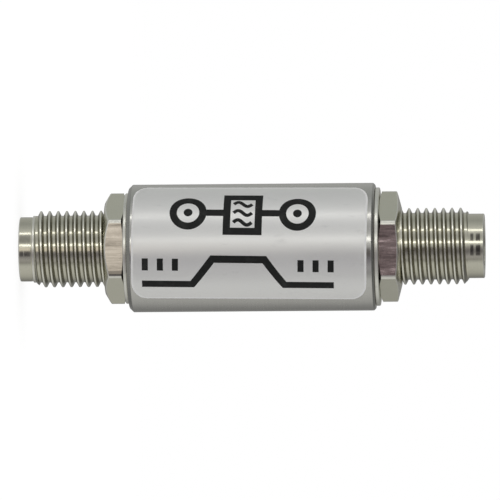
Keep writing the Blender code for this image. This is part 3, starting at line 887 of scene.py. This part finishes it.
def make_hexagon(name, node, shape, finishes, flats):
    """A hexagon with its front and back corners turned to cones, and its edges broken."""
    height = shape["hex_height"] + shape["heel"]
    face_radius = shape["face_radius"]
    cone = shape["cone"]

    def front(angle):
        reach = hexagon_reach(angle)
        return reach, height - (reach - face_radius) * math.tan(cone)

    def back(angle):
        reach = hexagon_reach(angle)
        return reach, max(HEX_BACK_EDGE, (reach - HEX_BACK_RADIUS) * math.tan(shape["back_cone"]))

    rings = [
        lambda angle: (min(hexagon_reach(angle) - HEX_BACK_EDGE, HEX_BACK_RADIUS), 0.0),
        back,
        front,
        lambda angle: (face_radius, height),
        lambda angle: (SLEEVE_BORE_RADIUS, height),
        lambda angle: (SLEEVE_BORE_RADIUS, 0.0),
    ]
    mesh = bmesh.new()
    bmesh.ops.create_circle(mesh, segments=HEX_STEPS, radius=SLEEVE_BORE_RADIUS)
    edges = mesh.edges[:]
    for ring in rings:
        points, edges, _ = extrude(mesh, edges)
        edges = [edge for edge in edges if all(vertex in points for vertex in edge.verts)]
        for vertex in points:
            angle = math.atan2(vertex.co.y, vertex.co.x)
            reach, level = ring(angle)
            vertex.co = (reach * math.cos(angle), reach * math.sin(angle), level)
    close_up(mesh)
    break_edges(
        mesh,
        HEX_CORNER,
        5,
        only=lambda edge: all(abs(face.normal.z) < 0.1 for face in edge.link_faces)
        and min(v.co.xy.length for v in edge.verts) > face_radius,
    )
    break_edges(
        mesh,
        HEX_EDGE,
        3,
        only=lambda edge: min(v.co.xy.length for v in edge.verts) > face_radius + 0.05 * MM
        and min(face.normal.z for face in edge.link_faces) < 0.1
        and max(face.normal.z for face in edge.link_faces) > 0.8,
    )
    mesh.normal_update()
    for face in mesh.faces:
        if face.calc_center_median().xy.length > face_radius:
            if abs(face.normal.z) < 0.2:
                face.material_index = side_finish(face, shape["darker_side"])
            # The front bevels take the lighter nickel: a painted highlight.
            elif 0.2 < face.normal.z < math.cos(cone) - 0.02:
                face.material_index = EDGE_HIGHLIGHT
    lowered = Matrix.Translation((0.0, 0.0, -shape["heel"])) @ Matrix.Rotation(shape["turn"], 4, "Z")
    bmesh.ops.transform(mesh, matrix=lowered, verts=mesh.verts)
    layers = [finishes[key] for key in ("jack", flats, "painted_highlight", "plain_flats", "back_flats")]
    finish_piece(name, mesh, layers, node, shape["place"])


def thread_outline(first_crest, low, high):
    """The thread's toothed outline in its axial plane, from below low to above high."""
    depth = CREST_RADIUS - ROOT_RADIUS
    slope = depth * math.tan(FLANK)
    # Up one flank, with two points on the way and two more that round the crest.
    shares = (0.0, 0.28, 0.64)
    tooth = [(-CREST_FLAT / 2 - slope * (1.0 - part), ROOT_RADIUS + depth * part) for part in shares]
    tooth += [
        (-CREST_FLAT / 2 - CREST_ROUND / 2, CREST_RADIUS - CREST_ROUND * 1.2),
        (-CREST_FLAT / 2 + CREST_ROUND / 2, CREST_RADIUS - CREST_ROUND * 0.15),
        (0.0, CREST_RADIUS),
    ]
    tooth += [(-offset, radius) for offset, radius in reversed(tooth[:-1])]
    outline = []
    turn = math.floor((low - first_crest) / PITCH) - 2
    while first_crest + turn * PITCH < high + 2 * PITCH:
        outline += [(radius, first_crest + turn * PITCH + offset) for offset, radius in tooth]
        turn += 1
    return outline


def make_thread(name, node, shape, finishes):
    """A true right-hand thread: the toothed outline climbs one pitch as it is spun once round."""
    low = shape["hex_height"] - FIT
    high = JACK_LENGTH - NOSE_LENGTH
    outline = thread_outline(shape["first_crest"], low, high)
    mesh = bmesh.new()
    corners = [mesh.verts.new((radius, 0.0, level)) for radius, level in outline]
    edges = [mesh.edges.new(pair) for pair in zip(corners, corners[1:])]
    sweep(mesh, corners + edges, math.tau, SPIN_STEPS, PITCH / SPIN_STEPS)
    bmesh.ops.remove_doubles(mesh, verts=mesh.verts, dist=1e-6)
    for level, facing in ((low, -1.0), (high, 1.0)):
        cut(mesh, (0.0, 0.0, level), (0.0, 0.0, facing), 1e-7, clear_outer=True)
    for vertex in mesh.verts:
        reach = vertex.co.xy.length
        allowed = ROOT_RADIUS + (high - vertex.co.z)
        if reach > allowed:
            vertex.co.xy *= allowed / reach
    bore = SLEEVE_BORE_RADIUS
    rims = []
    for level in (low, high):
        rim = [
            edge
            for edge in mesh.edges
            if len(edge.link_faces) == 1 and all(abs(v.co.z - level) < 1e-6 for v in edge.verts)
        ]
        points, edges, _ = extrude(mesh, rim)
        for vertex in points:
            vertex.co.xy *= bore / vertex.co.xy.length
        rims += [edge for edge in edges if all(abs(v.co.xy.length - bore) < 1e-6 for v in edge.verts)]
    bmesh.ops.bridge_loops(mesh, edges=rims)
    close_up(mesh)
    finish_piece(name, mesh, [finishes["thread"]], node, shape["place"])


def make_core(name, node, shape, finishes, nose):
    """The turned shell inside the hexagon and thread: spigot, root, nose and mouth."""
    rim = shape["rim"]
    shoulder = JACK_LENGTH - NOSE_LENGTH
    lip = shoulder + 0.5 * MM
    rim_outline = [
        (RIM_RADIUS - 0.03 * MM, shoulder),
        (RIM_RADIUS, shoulder + 0.05 * MM),
        (RIM_RADIUS, shoulder + 0.18 * MM),
        (NOSE_RADIUS - 0.02 * MM, shoulder + 0.26 * MM),
        (NOSE_RADIUS, shoulder + 0.42 * MM),
    ]
    mesh = spun(
        [
            (INSULATOR_RADIUS + FIT, -SPIGOT_REACH),
            (SPIGOT_RADIUS, -SPIGOT_REACH),
            (SPIGOT_RADIUS, CORE_SHOULDER),
            (CORE_RADIUS, CORE_SHOULDER),
            (CORE_RADIUS, shoulder),
            *(rim_outline if rim else [(NOSE_RADIUS, shoulder)]),
            (NOSE_RADIUS, JACK_LENGTH),
            (MOUTH_RADIUS, JACK_LENGTH),
            (MOUTH_RADIUS, JACK_LENGTH - MOUTH_DEPTH),
            (INSULATOR_RADIUS + FIT, JACK_LENGTH - MOUTH_DEPTH),
        ]
    )
    break_edges(
        mesh,
        NOSE_EDGE,
        3,
        only=lambda edge: all(v.co.z > lip for v in edge.verts),
    )
    mesh.normal_update()
    for face in mesh.faces:
        middle = face.calc_center_median()
        # The rim and the nose's end bevel take the lighter nickel: a painted highlight.
        on_rim = rim and middle.xy.length > NOSE_RADIUS and middle.z > shoulder - FIT
        on_lip = middle.z > lip and 0.1 < face.normal.z < 0.95
        on_nose = middle.z > shoulder + 0.3 * MM and middle.xy.length > NOSE_RADIUS - 0.02 * MM
        face.material_index = 1 if on_rim or on_lip else 2 if on_nose else 0
    layers = [finishes[key] for key in ("jack", "painted_highlight", nose)]
    finish_piece(name, mesh, layers, node, shape["place"])


def make_insulator(name, node, finishes):
    """The white core between shell and contact."""
    low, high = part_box(node)
    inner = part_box(node.replace("insulator", "contact"))[1].x + FIT
    mesh = spun_ring(inner, high.x, low.z, high.z)
    break_edges(mesh, INSULATOR_EDGE, 2)
    finish_piece(name, mesh, [finishes["fluoropolymer"]], node)


CONTACT_RADIUS = 0.635 * MM
CONTACT_BORE = 0.47 * MM
CONTACT_SLOT = 0.14 * MM
CONTACT_SLOT_DEPTH = 2.10 * MM
CONTACT_BORE_DEPTH = 2.60 * MM


def make_contact(name, node, finishes):
    """A gold socket: a solid stem, a bored cup, and four sprung fingers between its slots."""
    low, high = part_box(node)
    upper = node.startswith("upper")
    length = high.z - low.z
    split = length - CONTACT_SLOT_DEPTH
    mesh = spun(
        [
            (0.0, 0.0),
            (CONTACT_RADIUS, 0.0),
            (CONTACT_RADIUS, split),
            (CONTACT_BORE, split),
            (CONTACT_BORE, length - CONTACT_BORE_DEPTH),
            (0.0, length - CONTACT_BORE_DEPTH),
        ],
        64,
    )
    gap = 2 * math.asin(CONTACT_SLOT / 2 / CONTACT_RADIUS)
    for finger in range(4):
        quarter = bmesh.new()
        corners = [
            quarter.verts.new(corner)
            for corner in (
                (CONTACT_BORE, 0.0, split - FIT),
                (CONTACT_RADIUS, 0.0, split - FIT),
                (CONTACT_RADIUS, 0.0, length),
                (CONTACT_BORE, 0.0, length),
            )
        ]
        face = quarter.faces.new(corners)
        sweep(quarter, [face], math.tau / 4 - gap, FINGER_STEPS)
        close_up(quarter)
        break_edges(quarter, FINGER_EDGE, 2)
        turned = Matrix.Rotation(math.tau * finger / 4 + math.tau / 8 + gap / 2, 3, "Z")
        bmesh.ops.rotate(quarter, verts=quarter.verts, cent=(0.0, 0.0, 0.0), matrix=turned)
        data = bpy.data.meshes.new("finger")
        quarter.to_mesh(data)
        quarter.free()
        mesh.from_mesh(data)
        bpy.data.meshes.remove(data)
    if upper:
        place = Matrix.Translation((0.0, 0.0, low.z))
    else:
        place = Matrix.Translation((0.0, 0.0, high.z)) @ Matrix.Rotation(math.pi, 4, "Y")
    finish_piece(name, mesh, [finishes["gold"]], node, place)


def make_jack(end, shape, finishes):
    node = end + "_jack_shell"
    make_core(end + "_jack_core", node, shape, finishes, end + "_nose")
    make_hexagon(end + "_jack_hexagon", node, shape, finishes, end + "_flats")
    make_thread(end + "_jack_thread", node, shape, finishes)
    make_insulator(end + "_core_insulator", end + "_insulator", finishes)
    make_contact(end + "_socket_contact", end + "_contact", finishes)
    make_washer(end + "_lock_washer", end + "_washer", shape["heel"], finishes)


# The pieces inside keep their CAD shape


def finish_inner_pieces(finishes):
    kept = {
        "gold": ["board_pin"],
        "laminate": ["circuit_board"],
        "copper": ["ground_plane", "left_ground_strip", "right_ground_strip", "lower_trace", "upper_trace"],
        "ceramic": ["saw_package"],
        "lid": ["saw_lid"],
        "ferrite": ["lower_inductor", "upper_inductor"],
        "dielectric": ["lower_capacitor", "upper_capacitor"],
        "solder": ["lower_solder", "upper_solder", "left_ground_solder", "right_ground_solder"],
    }
    for finish, pieces in kept.items():
        for piece in pieces:
            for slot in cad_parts[piece].material_slots:
                slot.material = finishes[finish]


# The studio, with its sizes in metres

ROOM_LIGHT = 0.80
FLOOR_RADIUS = 0.30
FLOOR_FADE = (0.04, 0.16)
FLOOR_SHARE = 0.34
FLOOR_GLOW = 0.76

# What a mirror facing the camera and turned by half of each angle would see, dark to light, by angle.
TENT_WALL = [
    (-180, 0.30, (1.00, 1.00, 0.98)),
    (-150, 0.21, (1.00, 1.00, 0.98)),
    (-132, 0.30, (1.00, 1.00, 0.98)),
    (-117, 0.42, (1.00, 1.00, 0.97)),
    (-93, 0.52, (1.00, 1.00, 0.97)),
    (-65, 0.56, (1.00, 1.00, 0.98)),
    (-57, 0.46, (1.00, 1.00, 0.98)),
    (-49, 0.28, (1.00, 0.98, 0.97)),
    (-42, 0.38, (1.00, 0.97, 0.99)),
    (-36, 0.38, (1.00, 0.97, 1.00)),
    (-26, 0.24, (1.00, 0.96, 1.02)),
    (-19, 0.17, (1.00, 0.95, 1.03)),
    (-10, 0.26, (1.00, 0.96, 1.02)),
    (-4, 0.38, (1.00, 0.98, 1.00)),
    (3, 0.52, (1.00, 1.00, 0.98)),
    (8, 0.62, (1.00, 1.00, 0.98)),
    (22, 0.52, (1.00, 1.00, 0.98)),
    (34, 0.42, (1.00, 1.00, 1.00)),
    (42, 0.46, (1.00, 1.00, 1.00)),
    (50, 0.58, (1.00, 1.00, 1.00)),
    (72, 0.54, (1.00, 1.01, 1.00)),
    (81, 0.46, (0.99, 1.01, 1.00)),
    (102, 0.35, (0.98, 1.01, 1.00)),
    (114, 0.38, (0.98, 1.01, 0.99)),
    (150, 0.44, (0.99, 1.00, 0.98)),
    (180, 0.30, (1.00, 1.00, 0.98)),
]
TENT_RADIUS = 1.2
TENT_TOP = 0.16
TENT_RISE = (0.45, 0.95)

CARD_DISTANCE = 0.095
CARD_HALF_WIDTH = 0.014
CARD_SOFT_FROM = 0.6
LIGHT_CARD = (0.80, 0.735, 0.665)
DARK_CARD = (0.085, 0.075, 0.068)

STRIP_DISTANCE = 0.30
STRIP_WIDTH = 0.028
STRIP_HEIGHT = 0.36
STRIP_LEVEL = 0.02
STRIP_COLOUR = (1.0, 0.99, 0.95)


def stage_object(name, mesh, material):
    thing = new_object(name, mesh, [material])
    return thing


def seen_directly(nodes):
    """One for rays from the camera, from metal and through glass, which all meet the background."""
    path = nodes.tree.nodes.new("ShaderNodeLightPath")
    kinds = ("Is Camera Ray", "Is Glossy Ray", "Is Transmission Ray")
    straight, mirrored, through = [Wire(nodes, path.outputs[kind]) for kind in kinds]
    settings = {"operation": "ADD", "use_clamp": True}
    return nodes.node("ShaderNodeMath", settings, {0: straight + mirrored, 1: through})


def make_world():
    """A white room, at full white where it is seen and lower where it lights matt surfaces."""
    world = bpy.data.worlds.new("white_room")
    bpy.context.scene.world = world
    nodes = Nodes(world)
    strength = ROOM_LIGHT + seen_directly(nodes) * (1.0 - ROOM_LIGHT)
    room = nodes.node("ShaderNodeBackground", {}, {"Color": grey(1.0), "Strength": strength})
    nodes.node("ShaderNodeOutputWorld", {}, {"Surface": room})


def make_floor():
    """A plain white table top that keeps the soft shadow and fades into the white room."""
    material = bpy.data.materials.new("white_table")
    nodes = Nodes(material)
    x, y = nodes.place()[:2]
    away = (x * x + y * y) ** 0.5
    fade = nodes.stretch(away, *FLOOR_FADE, 0.0, 1.0, "SMOOTHSTEP")
    seen = seen_directly(nodes)
    matt = nodes.node("ShaderNodeBsdfDiffuse", {}, {"Color": grey(FLOOR_SHARE)})
    near = nodes.node("ShaderNodeAddShader", {}, {0: matt, 1: nodes.glow(grey(1.0), seen * FLOOR_GLOW)})
    far = nodes.glow(grey(1.0), seen)
    nodes.show(nodes.node("ShaderNodeMixShader", {}, {0: fade, 1: near, 2: far}))
    mesh = bmesh.new()
    bmesh.ops.create_circle(mesh, cap_ends=True, segments=96, radius=FLOOR_RADIUS)
    table = stage_object("white_table", mesh, material)
    table.visible_glossy = False


def make_tent():
    """A round cloth wall of paler and darker panels that only the metal sees."""
    material = bpy.data.materials.new("tent_wall")
    nodes = Nodes(material)
    x, y, z = nodes.place()
    angle = (x * -1.0).turn(y * -1.0)
    wall = nodes.node(
        "ShaderNodeValToRGB",
        {"stops": [((turn + 180.0) / 360.0, grey(value, tint)) for turn, value, tint in TENT_WALL]},
        {0: angle / math.tau + 0.5},
    )
    rise = nodes.stretch(z / TENT_RADIUS, *TENT_RISE, 0.0, 1.0, "SMOOTHSTEP")
    nodes.show(nodes.glow(nodes.mix(rise, wall, grey(TENT_TOP))))
    material.cycles.emission_sampling = "NONE"
    mesh = bmesh.new()
    bmesh.ops.create_uvsphere(mesh, u_segments=96, v_segments=48, radius=TENT_RADIUS)
    tent = stage_object("tent_wall", mesh, material)
    seen_by_metal_only(tent)


def seen_by_metal_only(thing):
    thing.visible_camera = False
    thing.visible_diffuse = False
    thing.visible_shadow = False
    thing.visible_volume_scatter = False


def make_card(name, low, high, beside, colour):
    """A small card close in front of one end, soft at its two long edges."""
    material = bpy.data.materials.new(name)
    nodes = Nodes(material)
    away = abs(nodes.place()[0] - beside)
    edge = nodes.stretch(away, CARD_HALF_WIDTH * CARD_SOFT_FROM, CARD_HALF_WIDTH, 0.0, 1.0, "SMOOTHSTEP")
    glow = nodes.glow(colour + (1.0,))
    clear = nodes.node("ShaderNodeBsdfTransparent", {}, {})
    nodes.show(nodes.node("ShaderNodeMixShader", {}, {0: edge, 1: glow, 2: clear}))
    material.cycles.emission_sampling = "NONE"
    mesh = bmesh.new()
    bmesh.ops.create_grid(mesh, x_segments=1, y_segments=1, size=0.5)
    shape = (
        Matrix.Translation((beside, -CARD_DISTANCE, (low + high) / 2))
        @ Matrix.Rotation(math.pi / 2, 4, "X")
        @ Matrix.Diagonal((2 * CARD_HALF_WIDTH, high - low, 1.0, 1.0))
    )
    bmesh.ops.transform(mesh, matrix=shape, verts=mesh.verts)
    seen_by_metal_only(stage_object(name, mesh, material))


def make_strip(name, angle, glow):
    """A tall narrow soft light, at an angle from the camera's side towards the top of the picture."""
    light = bpy.data.lights.new(name, "AREA")
    light.shape = "RECTANGLE"
    light.size = STRIP_WIDTH
    light.size_y = STRIP_HEIGHT
    light.energy = glow * math.pi * STRIP_WIDTH * STRIP_HEIGHT
    light.color = STRIP_COLOUR
    lamp = bpy.data.objects.new(name, light)
    bpy.context.scene.collection.objects.link(lamp)
    turn = math.radians(angle)
    lamp.location = (-STRIP_DISTANCE * math.sin(turn), -STRIP_DISTANCE * math.cos(turn), STRIP_LEVEL)
    ahead = Vector((0.0, 0.0, STRIP_LEVEL)) - lamp.location
    lamp.rotation_euler = ahead.to_track_quat("-Z", "Y").to_euler()
    lamp.visible_camera = False


def make_camera():
    """Looks at the front, from a little above, turned so that the filter lies along the picture."""
    camera = bpy.data.cameras.new("camera")
    camera.sensor_width = SENSOR_WIDTH
    camera.lens = PIXELS_PER_METRE * CAMERA_DISTANCE * SENSOR_WIDTH / FRAME_PIXELS
    camera.clip_start = 0.01
    camera.clip_end = 10.0
    back = Vector((0.0, -math.cos(CAMERA_RISE), math.sin(CAMERA_RISE)))
    right = Vector((0.0, math.sin(CAMERA_RISE), math.cos(CAMERA_RISE)))
    up = back.cross(right)
    across = right * math.cos(CAMERA_ROLL) - up * math.sin(CAMERA_ROLL)
    upward = up * math.cos(CAMERA_ROLL) + right * math.sin(CAMERA_ROLL)
    middle = FRAME_PIXELS / 2
    target = Vector(((middle - AXIS_PIXEL) / PIXELS_PER_METRE, 0.0, along_pixel(middle)))
    turned = Matrix((across, upward, back)).transposed().to_4x4()
    stand = bpy.data.objects.new("camera", camera)
    stand.matrix_world = Matrix.Translation(target + back * CAMERA_DISTANCE) @ turned
    bpy.context.scene.collection.objects.link(stand)
    bpy.context.scene.camera = stand


def make_studio():
    bpy.context.scene.view_settings.view_transform = "Standard"
    make_world()
    make_floor()
    make_tent()
    make_card("light_card", -30.0 * MM, 13.5 * MM, 0.0, LIGHT_CARD)
    make_card("dark_card", 15.5 * MM, 31.0 * MM, 16.0 * MM, DARK_CARD)
    make_strip("near_strip", 14.0, 1.9)
    make_strip("far_strip", 58.5, 1.7)


finishes = make_finishes()
make_camera()
make_housing(finishes)
make_label(finishes)
make_print(finishes)
make_jack("lower", LOWER_END, finishes)
make_jack("upper", UPPER_END, finishes)
finish_inner_pieces(finishes)
make_studio()
